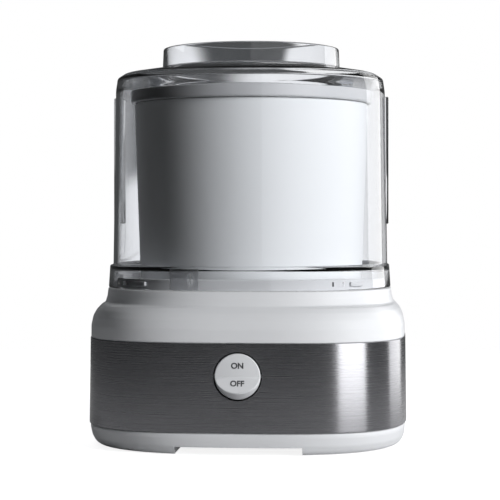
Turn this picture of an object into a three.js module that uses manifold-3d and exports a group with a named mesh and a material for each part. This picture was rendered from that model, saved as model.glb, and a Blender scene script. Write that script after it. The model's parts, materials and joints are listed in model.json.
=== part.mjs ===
// An ice cream maker: a mains base with a brushed steel band turns a double-walled freezer bowl
// while a fixed paddle, held by the clear lid, stirs the mix.
// Millimetres, +Z up, the front faces -Y, and the origin is on the floor under the bowl's axis.
import * as THREE from 'three';
import { mergeVertices } from 'three/addons/utils/BufferGeometryUtils.js';
import Module from 'manifold-3d';

const wasm = await Module();
wasm.setup();

// ---- driving dimensions ---------------------------------------------------------------------
const HEIGHT = 285.75;          // floor to the top of the lid's spout ring
const BASE_HALF = 114.4;        // half the width of the steel band at its lower edge
const BASE_POWER = 3.3;         // squareness of the base's outline: 2 is a circle
const COLLAR_POWER = 2.7;       // squareness of the collar and of the lid's skirt
const LID_POWER = 2.4;          // squareness of the lid's wall
const ROUND = 2;
const GAP = 0.3;                // clearance between pieces that touch

const BAND_LOW = 15.9;
const BAND_HIGH = 76.3;
const BAND_DRAFT = 0.8;         // how much narrower the band is at the top, per side
const BAND_THICK = 1;
const WALL = 2.6;               // moulded walls of the housing, the pan and the lid
const CREASE = 100.4;           // where the shoulder meets the collar
const COLLAR_TOP = 111;
const COLLAR_HALF = 103.2;
const UPSTAND_TOP = 119;
const UPSTAND_HALF = 99.2;
const DECK_TOP = 100;           // floor of the well that the bowl turns in
const WELL_HALF = UPSTAND_HALF - WALL;

const PAN_FLOOR = 7;
const TRIM_LOW = 0.6;           // lower edge of the white trim, just clear of the floor
const TRIM_POWER = 2.8;         // that edge has rounder corners than the band
const NOTCH_HALF = 43.5;        // half the width of the front cut-out under the base
const NOTCH_TOP = 5.8;

const BOWL_LOW = 109;
const RIM_LOW = 244.9;
const RIM_TOP = 255;
const BOWL_TOP_RADIUS = 86.6;
const BOWL_FOOT_RADIUS = 82;
const RIM_RADIUS = 89.4;
const LINER_RADIUS = 71.5;
const LINER_FLOOR = 125;
const SHEET = 1.6;              // thickness of the bowl's shell and liner

const FLANGE = 127.4;           // ledge above the lid's skirt
const SKIRT_HALF = 102.8;
const LID_LOW_HALF = 100.2;
const LID_HIGH_HALF = 98.6;
const LID_EDGE = 266;
const SPOUT_RADIUS = 64.8;

const SWITCH_HEIGHT = 54;
const SWITCH_HOLE = 17.3;
const ROCKER_RADIUS = 15.6;

const SIDES = 44;               // facets round the large shells
const SMALL_SIDES = 20;

// gear train: motor pinion -> idler wheel, idler pinion -> output wheel
const FAST = { module: 1.8, pinion: 12, wheel: 48, low: 66, thick: 7 };
const SLOW = { module: 2.3, pinion: 12, wheel: 40, low: 77, thick: 8 };
const FAST_CENTRES = FAST.module * (FAST.pinion + FAST.wheel) / 2;
const SLOW_CENTRES = SLOW.module * (SLOW.pinion + SLOW.wheel) / 2;
const IDLER_ANGLE = 100 * Math.PI / 180;
const MOTOR_ANGLE = -20 * Math.PI / 180;
const IDLER = [SLOW_CENTRES * Math.cos(IDLER_ANGLE), SLOW_CENTRES * Math.sin(IDLER_ANGLE)];
const MOTOR = [
  IDLER[0] + FAST_CENTRES * Math.cos(MOTOR_ANGLE),
  IDLER[1] + FAST_CENTRES * Math.sin(MOTOR_ANGLE),
];
const PLATE_LOW = 61;
const PLATE_HIGH = 88;
const PLATE_THICK = 2.5;
const PLATE = { x: 0, y: 14, size: 136 };
const POSTS = [[54, -36], [-54, -36], [58, 72], [-61, 68]];
const OUTPUT_SHAFT = 6;
const IDLER_AXLE = 4;
const MOTOR_SHAFT = 3;

const SCREW_AT = 74;            // the pan's four screws sit at (+-74, +-74)
const SCREW_RADIUS = 1.9;
const FOOT_RADIUS = 8;
const FEET = {
  foot_front_left: [-56, -84],
  foot_front_right: [56, -84],
  foot_rear_left: [-56, 84],
  foot_rear_right: [56, 84],
};

// ---- solids ---------------------------------------------------------------------------------
function solid(geometry) {
  const bare = geometry.clone();
  bare.deleteAttribute('normal');
  bare.deleteAttribute('uv');
  const merged = mergeVertices(bare, 1e-4);
  const points = merged.attributes.position.array;
  const faces = facingOut(points, Array.from(merged.index.array));
  const mesh = new wasm.Mesh({
    numProp: 3,
    vertProperties: new Float32Array(points),
    triVerts: new Uint32Array(faces),
  });
  return new wasm.Manifold(mesh);
}

function facingOut(points, faces) {
  let volume = 0;
  const corner = (i) => new THREE.Vector3(points[3 * i], points[3 * i + 1], points[3 * i + 2]);
  for (let i = 0; i < faces.length; i += 3) {
    const [a, b, c] = [corner(faces[i]), corner(faces[i + 1]), corner(faces[i + 2])];
    volume += a.dot(b.cross(c));
  }
  return volume < 0 ? faces.reverse() : faces;
}

// Joins rings of points into one skin. A ring of a single point is a pole on the axis.
function skin(rings, closed) {
  const positions = [];
  const starts = [];
  for (const ring of rings) {
    starts.push(positions.length / 3);
    for (const p of ring) positions.push(p.x, p.y, p.z);
  }
  const sides = Math.max(...rings.map((ring) => ring.length));
  const faces = [];
  const spans = closed ? rings.length : rings.length - 1;
  for (let i = 0; i < spans; i++) {
    const j = (i + 1) % rings.length;
    const here = (k) => starts[i] + k % rings[i].length;
    const next = (k) => starts[j] + k % rings[j].length;
    for (let k = 0; k < sides; k++) {
      if (rings[i].length > 1) faces.push(here(k), here(k + 1), next(k + 1));
      if (rings[j].length > 1) faces.push(here(k), next(k + 1), next(k));
    }
  }
  const geometry = new THREE.BufferGeometry();
  geometry.setAttribute('position', new THREE.Float32BufferAttribute(positions, 3));
  geometry.setIndex(faces);
  return geometry;
}

function squircleRing(half, height, power, sides) {
  if (half === 0) return [new THREE.Vector3(0, 0, height)];
  const ring = [];
  for (let k = 0; k < sides; k++) {
    const turn = (2 * Math.PI * k) / sides;
    const [c, s] = [Math.cos(turn), Math.sin(turn)];
    const reach = half / (Math.abs(c) ** power + Math.abs(s) ** power) ** (1 / power);
    ring.push(new THREE.Vector3(reach * c, reach * s, height));
  }
  return ring;
}

// Sweeps a profile of [half width, height, squareness] round the axis.
function squircleLathe(profile, sides = SIDES) {
  const rings = profile.map(([half, height, power]) => squircleRing(half, height, power, sides));
  return solid(skin(rings, profile[0][0] > 0));
}

function roundLathe(profile, sides = SIDES) {
  return squircleLathe(profile.map(([radius, height]) => [radius, height, ROUND]), sides);
}

function disc(radius, low, high, x = 0, y = 0, sides = SMALL_SIDES) {
  const geometry = new THREE.CylinderGeometry(radius, radius, high - low, sides);
  geometry.rotateX(Math.PI / 2);
  geometry.translate(x, y, (low + high) / 2);
  return solid(geometry);
}

function tube(inner, outer, low, high, x = 0, y = 0, sides = SMALL_SIDES) {
  return disc(outer, low, high, x, y, sides).subtract(disc(inner, low - 1, high + 1, x, y, sides));
}

// A cylinder along Y, from y0 to y1, centred on x and z.
function rodAlongY(radius, y0, y1, x, z, sides = 32) {
  const geometry = new THREE.CylinderGeometry(radius, radius, y1 - y0, sides);
  geometry.translate(x, (y0 + y1) / 2, z);
  return solid(geometry);
}

function block(x0, x1, y0, y1, z0, z1) {
  const geometry = new THREE.BoxGeometry(x1 - x0, y1 - y0, z1 - z0);
  geometry.translate((x0 + x1) / 2, (y0 + y1) / 2, (z0 + z1) / 2);
  return solid(geometry);
}

// A small block at a radius from the axis, turned to face outwards.
function radialBlock(inner, outer, width, low, high, angle) {
  const geometry = new THREE.BoxGeometry(outer - inner, width, high - low);
  geometry.translate((inner + outer) / 2, 0, (low + high) / 2);
  geometry.rotateZ(angle);
  return solid(geometry);
}

function join(pieces) {
  return pieces.reduce((whole, piece) => whole.add(piece));
}

function cut(body, tools) {
  return tools.reduce((left, tool) => left.subtract(tool), body);
}

// ---- materials ------------------------------------------------------------------------------
const finish = (color, roughness, metalness, opacity = 1) =>
  ({ color, roughness, metalness, opacity, transparent: opacity < 1 });
const FINISHES = {
  white: finish(0xe4e6ea, 0.25, 0),
  band: finish(0x8d9195, 0.35, 1),
  steel: finish(0xb4b8bc, 0.3, 1),
  brass: finish(0xb8964f, 0.35, 1),
  aluminium: finish(0xc3c6ca, 0.4, 1),
  clear: finish(0xe9eef0, 0.05, 0, 0.3),
  rubber: finish(0x2c2d2f, 0.85, 0),
  black: finish(0x24262a, 0.5, 0),
  nylon: finish(0xe8e2cf, 0.5, 0),
  copper: finish(0xa4623a, 0.45, 0.8),
  magnet: finish(0x3a3b3e, 0.6, 0.3),
};

const model = new THREE.Group();

function add(name, body, look) {
  const { vertProperties, triVerts } = body.getMesh();
  const geometry = new THREE.BufferGeometry();
  geometry.setAttribute('position', new THREE.Float32BufferAttribute(vertProperties, 3));
  geometry.setIndex(Array.from(triVerts));
  const mesh = new THREE.Mesh(geometry, new THREE.MeshStandardMaterial(FINISHES[look]));
  mesh.name = name;
  model.add(mesh);
}

// ---- base shells ----------------------------------------------------------------------------
const CORNERS = [[1, 1], [-1, 1], [-1, -1], [1, -1]];
const LOCK_ANGLES = CORNERS.map(([x, y]) => Math.atan2(y, x));
const UPSTAND_CORNER = UPSTAND_HALF * 2 ** (0.5 - 1 / LID_POWER);
const HOOK_LOW = COLLAR_TOP + 3;
const HOOK_HIGH = HOOK_LOW + 3;
const HOOK_TURN = 0.05;         // the base's hooks and the lid's lugs lie side by side, in radians
const LUG_TURN = 0.12;
const BAND_INNER_TOP = BASE_HALF - BAND_DRAFT - BAND_THICK;
const GLAND_HEIGHT = 30;

function switchOpening(radius) {
  return rodAlongY(radius, -BASE_HALF - 5, -BASE_HALF + 12, 0, SWITCH_HEIGHT);
}

function glandOpening(radius) {
  return rodAlongY(radius, BASE_HALF - 12, BASE_HALF + 5, 0, GLAND_HEIGHT, SMALL_SIDES);
}

function baseHousing() {
  const outer = BAND_INNER_TOP - GAP;
  const inner = outer - WALL;
  const shoulder = [
    [outer, BAND_LOW], [outer, BAND_HIGH + GAP], [BASE_HALF - 1.2, BAND_HIGH + GAP],
    [BASE_HALF - 1.2, 82], [BASE_HALF - 1.7, 88], [BASE_HALF - 3.3, 92.5],
    [BASE_HALF - 5.1, 95.8], [BASE_HALF - 7, 98], [BASE_HALF - 8.4, CREASE - 0.6],
  ].map(([half, height]) => [half, height, BASE_POWER]);
  const collar = [
    [COLLAR_HALF + 1.7, CREASE], [COLLAR_HALF + 0.8, 104], [COLLAR_HALF, COLLAR_TOP - 1],
    [COLLAR_HALF - 0.8, COLLAR_TOP], [UPSTAND_HALF + 1, COLLAR_TOP],
  ].map(([half, height]) => [half, height, COLLAR_POWER]);
  const well = [
    [UPSTAND_HALF, COLLAR_TOP], [UPSTAND_HALF, UPSTAND_TOP], [WELL_HALF, UPSTAND_TOP],
    [WELL_HALF - 1, DECK_TOP + 2], [WELL_HALF - 4, DECK_TOP],
  ].map(([half, height]) => [half, height, LID_POWER]);
  const shaftHole = [[14, DECK_TOP, ROUND], [14, DECK_TOP - WALL, ROUND]];
  const inside = [
    [WELL_HALF - 2, DECK_TOP - WALL, LID_POWER], [COLLAR_HALF - 7, DECK_TOP - WALL, COLLAR_POWER],
    [inner - 4, DECK_TOP - WALL - 1, BASE_POWER], [inner, 90, BASE_POWER], [inner, BAND_LOW, BASE_POWER],
  ];
  const shell = squircleLathe([...shoulder, ...collar, ...well, ...shaftHole, ...inside]);
  const bosses = CORNERS.map(([x, y]) => disc(5, BAND_LOW, DECK_TOP - 1, SCREW_AT * x, SCREW_AT * y, 12));
  const hangers = POSTS.map(([x, y]) => disc(5, PLATE_HIGH + PLATE_THICK + GAP, DECK_TOP - 1, x, y, 12));
  const hooks = LOCK_ANGLES.map((angle) =>
    radialBlock(UPSTAND_CORNER - 2, UPSTAND_CORNER + 1.4, 12, HOOK_LOW, HOOK_HIGH, angle + HOOK_TURN));
  const screwHoles = CORNERS.map(([x, y]) =>
    disc(SCREW_RADIUS + GAP, BAND_LOW - 1, 24, SCREW_AT * x, SCREW_AT * y, 12));
  return cut(join([shell, ...bosses, ...hangers, ...hooks]),
    [...screwHoles, switchOpening(SWITCH_HOLE + 1), glandOpening(6.5)]);
}

function steelBand() {
  const top = BASE_HALF - BAND_DRAFT;
  const band = squircleLathe([
    [BASE_HALF, BAND_LOW], [top, BAND_HIGH],
    [top - BAND_THICK, BAND_HIGH], [top - BAND_THICK, BAND_LOW],
  ].map(([half, height]) => [half, height, BASE_POWER]));
  return cut(band, [switchOpening(SWITCH_HOLE), glandOpening(6.5)]);
}

function bottomPan() {
  const rimHigh = BAND_LOW - GAP;
  const inner = BASE_HALF - 5;
  const trim = [
    [0, PAN_FLOOR, TRIM_POWER], [BASE_HALF - 9.5, PAN_FLOOR, TRIM_POWER],
    [BASE_HALF - 8.5, TRIM_LOW, TRIM_POWER], [BASE_HALF - 4.8, TRIM_LOW, TRIM_POWER],
    [BASE_HALF - 3.2, 2, 2.85], [BASE_HALF - 2, 4.5, 3], [BASE_HALF - 1.1, 9, 3.2],
  ];
  const tray = [
    [BASE_HALF - 0.9, rimHigh], [inner, rimHigh], [inner - 1, PAN_FLOOR + WALL + 1],
    [inner - 3, PAN_FLOOR + WALL], [0, PAN_FLOOR + WALL],
  ].map(([half, height]) => [half, height, BASE_POWER]);
  const notch = block(-NOTCH_HALF, NOTCH_HALF, -BASE_HALF - 1, -100, 0, NOTCH_TOP);
  const ribs = [-1, 1].map((side) => {
    const [x0, x1] = [side * NOTCH_HALF, side * (NOTCH_HALF + WALL)];
    return block(Math.min(x0, x1), Math.max(x0, x1), -104, -40, TRIM_LOW, PAN_FLOOR + 1);
  });
  const screwHoles = CORNERS.map(([x, y]) =>
    disc(SCREW_RADIUS + GAP, 0, PAN_FLOOR + 5, SCREW_AT * x, SCREW_AT * y, 12));
  const footHoles = Object.values(FEET).map(([x, y]) => disc(2.3, 0, PAN_FLOOR + 5, x, y, 12));
  const shell = squircleLathe([...trim, ...tray]).subtract(notch);
  return cut(join([shell, ...ribs]), [...screwHoles, ...footHoles]);
}

function rubberFoot(x, y) {
  const low = PAN_FLOOR - GAP;
  const stem = disc(2, 1, PAN_FLOOR + WALL + 1, x, y, 12);
  return disc(FOOT_RADIUS, 0, low, x, y).add(stem);
}

function panScrew(x, y) {
  const head = disc(4, PAN_FLOOR - 3, PAN_FLOOR - GAP, x, y, 12);
  const slot = block(x - 3, x + 3, y - 0.6, y + 0.6, PAN_FLOOR - 4, PAN_FLOOR - 2);
  return cut(head.add(disc(SCREW_RADIUS, PAN_FLOOR - 1, 23, x, y, 12)), [slot]);
}

// ---- power switch ---------------------------------------------------------------------------
const CUP_FRONT = -(BAND_INNER_TOP - GAP - WALL - GAP);
const PIVOT_Y = -108.5;
const PIN_RADIUS = 1.2;
const PIN_LENGTH = 36;
const ROCKER_BACK = -106;
const ROCKER_FACE = -114.2;
const ROCKER_PROUD = 3.8;
const BUTTON_SIDES = 32;

function switchBody() {
  const flange = rodAlongY(22, CUP_FRONT, CUP_FRONT + 2, 0, SWITCH_HEIGHT);
  const barrel = rodAlongY(19, CUP_FRONT + 1, CUP_FRONT + 14, 0, SWITCH_HEIGHT);
  const cavity = rodAlongY(16.9, CUP_FRONT - 1, CUP_FRONT + 8, 0, SWITCH_HEIGHT);
  const terminals = [-6, 6].map((x) =>
    block(x - 2, x + 2, CUP_FRONT + 13, CUP_FRONT + 20, SWITCH_HEIGHT - 4, SWITCH_HEIGHT + 4));
  const pinHole = crossRod(PIN_RADIUS + GAP, PIN_LENGTH + 2 * GAP);
  return cut(join([flange, barrel, ...terminals]), [cavity, pinHole]);
}

// A ring of the button, seen from the front: round above the crease and shallower below it.
function buttonRing(radius, depth, lowShare, proud) {
  const ring = [];
  for (let k = 0; k < BUTTON_SIDES; k++) {
    const turn = (2 * Math.PI * k) / BUTTON_SIDES;
    const rise = Math.sin(turn) * (Math.sin(turn) < 0 ? lowShare : 1);
    const forward = proud * Math.max(0, -rise) / lowShare;
    ring.push(new THREE.Vector3(
      radius * Math.cos(turn), depth - forward, SWITCH_HEIGHT + radius * rise));
  }
  return ring;
}

// The button at ON: its upper half is flush with the band and its lower half stands proud.
function rocker() {
  const rings = [
    [new THREE.Vector3(0, ROCKER_BACK, SWITCH_HEIGHT)],
    buttonRing(ROCKER_RADIUS - 1.6, ROCKER_BACK, 1, 0),
    buttonRing(ROCKER_RADIUS, ROCKER_FACE + 1, 1, 0),
    buttonRing(ROCKER_RADIUS - 0.3, ROCKER_FACE, 0.72, ROCKER_PROUD),
    [new THREE.Vector3(0, ROCKER_FACE, SWITCH_HEIGHT)],
  ];
  return solid(skin(rings, false)).subtract(crossRod(PIN_RADIUS + GAP, 40));
}

// A rod along X through the rocker's pivot.
function crossRod(radius, length) {
  const geometry = new THREE.CylinderGeometry(radius, radius, length, 12);
  geometry.rotateZ(Math.PI / 2);
  geometry.translate(0, PIVOT_Y, SWITCH_HEIGHT);
  return solid(geometry);
}

// ---- motor and gears ------------------------------------------------------------------------
function gearShape(teeth, module, turn, bore) {
  const pitch = (teeth * module) / 2;
  const tip = pitch + 0.8 * module;
  const root = pitch - 1.15 * module;
  const halfPitch = 0.2 * Math.PI * module;      // half a tooth at the pitch circle, thinned for play
  const shape = new THREE.Shape();
  const corners = [[root, 1.45], [pitch, 1], [tip, 0.45]];
  for (let tooth = 0; tooth < teeth; tooth++) {
    const centre = turn + (2 * Math.PI * tooth) / teeth;
    const side = (sign, list) => list.map(([radius, share]) =>
      [radius, centre + (sign * share * halfPitch) / radius]);
    for (const [radius, angle] of [...side(-1, corners), ...side(1, [...corners].reverse())]) {
      const [x, y] = [radius * Math.cos(angle), radius * Math.sin(angle)];
      if (shape.curves.length === 0 && shape.currentPoint.length() === 0) shape.moveTo(x, y);
      else shape.lineTo(x, y);
    }
  }
  shape.closePath();
  const hole = new THREE.Path();
  hole.absarc(0, 0, bore, 0, 2 * Math.PI, true);
  shape.holes.push(hole);
  return shape;
}

function gear(teeth, stage, low, high, centre, turn, bore) {
  const shape = gearShape(teeth, stage.module, turn, bore);
  const geometry = new THREE.ExtrudeGeometry(shape,
    { depth: high - low, bevelEnabled: false, curveSegments: 10 });
  geometry.translate(centre[0], centre[1], low);
  return solid(geometry);
}

function motorPinion() {
  // one tooth points back along the line from the idler to the motor
  const turn = MOTOR_ANGLE + Math.PI;
  return gear(FAST.pinion, FAST, FAST.low, FAST.low + FAST.thick, MOTOR, turn, MOTOR_SHAFT + GAP);
}

function idlerGear() {
  const bore = IDLER_AXLE + GAP;
  const wheelTurn = MOTOR_ANGLE + Math.PI / FAST.wheel;
  const wheel = gear(FAST.wheel, FAST, FAST.low, FAST.low + FAST.thick, IDLER, wheelTurn, bore);
  const low = FAST.low + FAST.thick - 1;
  const high = SLOW.low + SLOW.thick;
  const pinion = gear(SLOW.pinion, SLOW, low, high, IDLER, IDLER_ANGLE + Math.PI, bore);
  return wheel.add(pinion);
}

function outputGear() {
  const turn = IDLER_ANGLE + Math.PI / SLOW.wheel;
  return gear(SLOW.wheel, SLOW, SLOW.low, SLOW.low + SLOW.thick, [0, 0], turn, OUTPUT_SHAFT + GAP);
}

function gearPlate(low, holes) {
  const half = PLATE.size / 2;
  const plate = block(PLATE.x - half, PLATE.x + half, PLATE.y - half, PLATE.y + half, low, low + PLATE_THICK);
  return cut(plate, holes.map(([radius, x, y]) => disc(radius, low - 1, low + PLATE_THICK + 1, x, y)));
}

function motorCan() {
  const shell = disc(34, 12, PLATE_LOW - GAP, ...MOTOR, 32);
  const inside = disc(32.5, 13.5, PLATE_LOW + 1, ...MOTOR, 32);
  return cut(shell, [inside, disc(MOTOR_SHAFT + 3.3, 11, 14, ...MOTOR)]);
}

// ---- freezer bowl ---------------------------------------------------------------------------
function bowlShell() {
  const top = RIM_LOW - GAP;
  return roundLathe([
    [0, BOWL_LOW], [BOWL_FOOT_RADIUS - 6, BOWL_LOW], [BOWL_FOOT_RADIUS - 1.6, BOWL_LOW + 2],
    [BOWL_FOOT_RADIUS, BOWL_LOW + 6], [BOWL_TOP_RADIUS, top], [BOWL_TOP_RADIUS - SHEET, top],
    [BOWL_FOOT_RADIUS - SHEET, BOWL_LOW + 7], [BOWL_FOOT_RADIUS - 7, BOWL_LOW + SHEET],
    [0, BOWL_LOW + SHEET],
  ]);
}

function bowlLiner() {
  const top = RIM_LOW - GAP;
  const foot = LINER_RADIUS - 4;
  return roundLathe([
    [0, LINER_FLOOR], [foot - 6, LINER_FLOOR], [foot, LINER_FLOOR + 6], [LINER_RADIUS, top],
    [LINER_RADIUS - SHEET, top], [foot - SHEET, LINER_FLOOR + 7], [foot - 7, LINER_FLOOR + SHEET],
    [0, LINER_FLOOR + SHEET],
  ]);
}

function bowlRim() {
  const inner = LINER_RADIUS - SHEET;
  return roundLathe([
    [RIM_RADIUS - 0.6, RIM_LOW], [RIM_RADIUS, RIM_LOW + 1.5], [RIM_RADIUS, RIM_TOP - 2],
    [RIM_RADIUS - 2, RIM_TOP], [inner + 2, RIM_TOP], [inner, RIM_TOP - 2], [inner, RIM_LOW],
  ]);
}

function bowlSocket() {
  const hexHole = disc(15.4, 100, BOWL_LOW + 1, 0, 0, 6);
  return disc(30, DECK_TOP + 1.8, BOWL_LOW - GAP, 0, 0, 30).subtract(hexHole);
}

function driveHub() {
  const flange = disc(24, DECK_TOP + 0.6, DECK_TOP + 1.5, 0, 0, 30);
  return flange.add(disc(14.4, DECK_TOP + 1, BOWL_LOW - 2, 0, 0, 6));
}

// ---- paddle and lid -------------------------------------------------------------------------
const ARM_LOW = RIM_TOP + 1.6;
const ARM_HIGH = ARM_LOW + 5;
const ARM_REACH = 75;

function paddle() {
  const floor = LINER_FLOOR + SHEET + 1.4;
  const blades = [-1, 1].flatMap((side) => [
    block(Math.min(side * 54, side * 60), Math.max(side * 54, side * 60), -5, 5, floor, 222),
    block(Math.min(side * 30, side * 34), Math.max(side * 30, side * 34), -4, 4, floor, 222),
  ]);
  return join([
    disc(6, floor, ARM_HIGH, 0, 0, 16),
    block(-60, 60, -5, 5, floor, floor + 5),
    block(-60, 60, -4, 4, 216, 222),
    ...blades,
    block(-ARM_REACH, ARM_REACH, -5, 5, ARM_LOW, ARM_HIGH),
  ]);
}

function lid() {
  const skirt = [
    [SKIRT_HALF - WALL, COLLAR_TOP + GAP], [SKIRT_HALF, COLLAR_TOP + GAP],
    [SKIRT_HALF - 1.1, FLANGE - 1.2], [SKIRT_HALF - 1.8, FLANGE],
  ].map(([half, height]) => [half, height, COLLAR_POWER]);
  const wall = [
    [LID_LOW_HALF, FLANGE + 0.4], [LID_HIGH_HALF, 248], [LID_HIGH_HALF - 0.9, LID_EDGE - 7],
    [LID_HIGH_HALF - 3.2, LID_EDGE - 2.4], [LID_HIGH_HALF - 7, LID_EDGE],
  ].map(([half, height]) => [half, height, LID_POWER]);
  const spout = [
    [SPOUT_RADIUS + 3, LID_EDGE + 4], [SPOUT_RADIUS + 0.4, LID_EDGE + 6],
    [SPOUT_RADIUS, HEIGHT - 0.8], [SPOUT_RADIUS - 0.8, HEIGHT],
    [SPOUT_RADIUS - WALL, HEIGHT], [SPOUT_RADIUS - WALL, LID_EDGE + 1],
  ].map(([radius, height]) => [radius, height, ROUND]);
  const inside = [
    [SPOUT_RADIUS + 3, LID_EDGE + 1, ROUND], [LID_HIGH_HALF - 8, LID_EDGE - WALL, LID_POWER],
    [LID_HIGH_HALF - 5.4, LID_EDGE - 5, LID_POWER], [LID_HIGH_HALF - WALL, 248, LID_POWER],
    [LID_LOW_HALF - WALL, FLANGE - 1, LID_POWER], [SKIRT_HALF - WALL - 1, FLANGE - 3, COLLAR_POWER],
  ];
  const shell = squircleLathe([...skirt, ...wall, ...spout, ...inside]);
  const grips = [-1, 1].map((side) =>
    block(Math.min(side * 97, side * 101.4), Math.max(side * 97, side * 101.4), -8, 8, 157, 250));
  const keepers = [-1, 1].flatMap((side) => [-1, 1].map((face) =>
    block(Math.min(side * 66, side * 76), Math.max(side * 66, side * 76),
      Math.min(face * 6.5, face * 8.5), Math.max(face * 6.5, face * 8.5), ARM_LOW + 0.5, LID_EDGE + 2)));
  const lugs = LOCK_ANGLES.map((angle) =>
    radialBlock(UPSTAND_CORNER + 1.2, UPSTAND_CORNER + 6.5, 8, HOOK_LOW, HOOK_HIGH, angle - LUG_TURN));
  return join([shell, ...grips, ...keepers, ...lugs]);
}

// ---- assembly -------------------------------------------------------------------------------
add('base_housing', baseHousing(), 'white');
add('steel_band', steelBand(), 'band');
add('bottom_pan', bottomPan(), 'white');
for (const [name, [x, y]] of Object.entries(FEET)) add(name, rubberFoot(x, y), 'rubber');
CORNERS.forEach(([x, y], i) => add(`pan_screw_${i + 1}`, panScrew(SCREW_AT * x, SCREW_AT * y), 'steel'));
add('cord_gland', glandOpening(6.2).subtract(glandOpening(3.4)), 'rubber');

add('switch_body', switchBody(), 'black');
add('power_rocker', rocker(), 'white');
add('rocker_pin', crossRod(PIN_RADIUS, PIN_LENGTH), 'steel');

add('motor_can', motorCan(), 'steel');
add('motor_coil', tube(22, 32, 18, 52, ...MOTOR, 32), 'copper');
add('motor_bush', tube(MOTOR_SHAFT + GAP, MOTOR_SHAFT + 3, 12, 18, ...MOTOR), 'brass');
add('motor_rotor', tube(MOTOR_SHAFT + GAP, 20, 20, 50, ...MOTOR, 32), 'magnet');
add('motor_shaft', disc(MOTOR_SHAFT, 14, FAST.low + FAST.thick + 2, ...MOTOR), 'steel');
add('motor_pinion', motorPinion(), 'brass');
add('gear_plate_lower', gearPlate(PLATE_LOW,
  [[OUTPUT_SHAFT + 3 + GAP, 0, 0], [IDLER_AXLE + GAP, ...IDLER], [MOTOR_SHAFT + 0.6, ...MOTOR]]), 'steel');
add('gear_plate_upper', gearPlate(PLATE_HIGH,
  [[OUTPUT_SHAFT + 3 + GAP, 0, 0], [IDLER_AXLE + GAP, ...IDLER]]), 'steel');
POSTS.forEach(([x, y], i) =>
  add(`gear_post_${i + 1}`, disc(5, PLATE_LOW + PLATE_THICK + GAP, PLATE_HIGH - GAP, x, y), 'steel'));
add('idler_axle', disc(IDLER_AXLE, PLATE_LOW, PLATE_HIGH + PLATE_THICK, ...IDLER), 'steel');
add('idler_gear', idlerGear(), 'nylon');
for (const [name, low] of [['output_bush_lower', PLATE_LOW], ['output_bush_upper', PLATE_HIGH]]) {
  add(name, tube(OUTPUT_SHAFT + GAP, OUTPUT_SHAFT + 3, low, low + PLATE_THICK), 'brass');
}
add('output_gear', outputGear(), 'nylon');
add('output_shaft', disc(OUTPUT_SHAFT, PLATE_LOW - 1, DECK_TOP + GAP), 'steel');
add('hub_seal', tube(OUTPUT_SHAFT + GAP, 14 - GAP, DECK_TOP - WALL, DECK_TOP), 'rubber');
add('drive_hub', driveHub(), 'black');

add('bowl_shell', bowlShell(), 'white');
add('bowl_liner', bowlLiner(), 'aluminium');
add('bowl_rim', bowlRim(), 'white');
add('bowl_socket', bowlSocket(), 'black');
add('paddle', paddle(), 'white');
add('lid', lid(), 'clear');

export default model;
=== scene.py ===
# An ice cream maker: the looks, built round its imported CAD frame. Metres, +Z up, the front faces -Y.
import json
import math

import bmesh
import bpy
from mathutils import Matrix, Vector

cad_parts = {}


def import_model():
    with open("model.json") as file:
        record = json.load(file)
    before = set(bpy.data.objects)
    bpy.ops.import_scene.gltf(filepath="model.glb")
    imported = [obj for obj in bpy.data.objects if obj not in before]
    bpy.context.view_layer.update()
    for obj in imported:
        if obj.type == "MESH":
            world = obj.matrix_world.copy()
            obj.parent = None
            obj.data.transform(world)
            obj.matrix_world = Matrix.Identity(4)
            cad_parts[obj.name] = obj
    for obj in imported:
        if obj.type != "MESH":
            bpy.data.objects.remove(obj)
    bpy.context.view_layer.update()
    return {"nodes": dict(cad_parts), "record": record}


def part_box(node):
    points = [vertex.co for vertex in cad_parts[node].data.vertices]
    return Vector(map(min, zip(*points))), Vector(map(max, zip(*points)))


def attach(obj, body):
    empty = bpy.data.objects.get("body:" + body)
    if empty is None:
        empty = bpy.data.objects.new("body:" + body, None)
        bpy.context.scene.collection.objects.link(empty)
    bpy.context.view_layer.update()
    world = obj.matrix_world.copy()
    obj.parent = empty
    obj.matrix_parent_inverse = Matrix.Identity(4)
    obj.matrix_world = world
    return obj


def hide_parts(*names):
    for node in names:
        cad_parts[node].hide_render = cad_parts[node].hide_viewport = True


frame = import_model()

MM = 0.001
ROUND = 2                       # a circle's squareness
BASE_POWER = 3.3                # squareness of the base's outline
COLLAR_POWER = 2.7              # squareness of the collar and the lid's skirt
LID_POWER = 2.4                 # squareness of the lid's wall
FINE = 240                      # facets round a large shell
GAP = 0.3 * MM                  # between neighbouring parts

# ---- sizes read from the frame --------------------------------------------------------------
BAND_LOW_CORNER, BAND_HIGH_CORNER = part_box("steel_band")
BASE_HALF = BAND_HIGH_CORNER.x
BAND_LOW, BAND_HIGH = BAND_LOW_CORNER.z, BAND_HIGH_CORNER.z
UPSTAND_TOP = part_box("base_housing")[1].z
LID_LOW, LID_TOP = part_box("lid")[0].z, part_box("lid")[1].z
COLLAR_TOP = LID_LOW - GAP
CREASE = COLLAR_TOP - 10.6 * MM
DECK_TOP = UPSTAND_TOP - 19 * MM
PAN_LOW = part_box("bottom_pan")[0].z
RIM_LOW, RIM_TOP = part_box("bowl_rim")[0].z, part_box("bowl_rim")[1].z
RIM_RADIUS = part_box("bowl_rim")[1].x
BOWL_LOW, BOWL_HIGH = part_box("bowl_shell")[0].z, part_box("bowl_shell")[1].z
BOWL_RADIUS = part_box("bowl_shell")[1].x
LINER_LOW, LINER_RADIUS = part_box("bowl_liner")[0].z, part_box("bowl_liner")[1].x
ROCKER_LOW, ROCKER_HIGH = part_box("power_rocker")
SWITCH = Vector((0, ROCKER_LOW.y, (ROCKER_LOW.z + ROCKER_HIGH.z) / 2))
GLAND = (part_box("cord_gland")[0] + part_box("cord_gland")[1]) / 2
FEET = ("foot_front_left", "foot_front_right", "foot_rear_left", "foot_rear_right")

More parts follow.
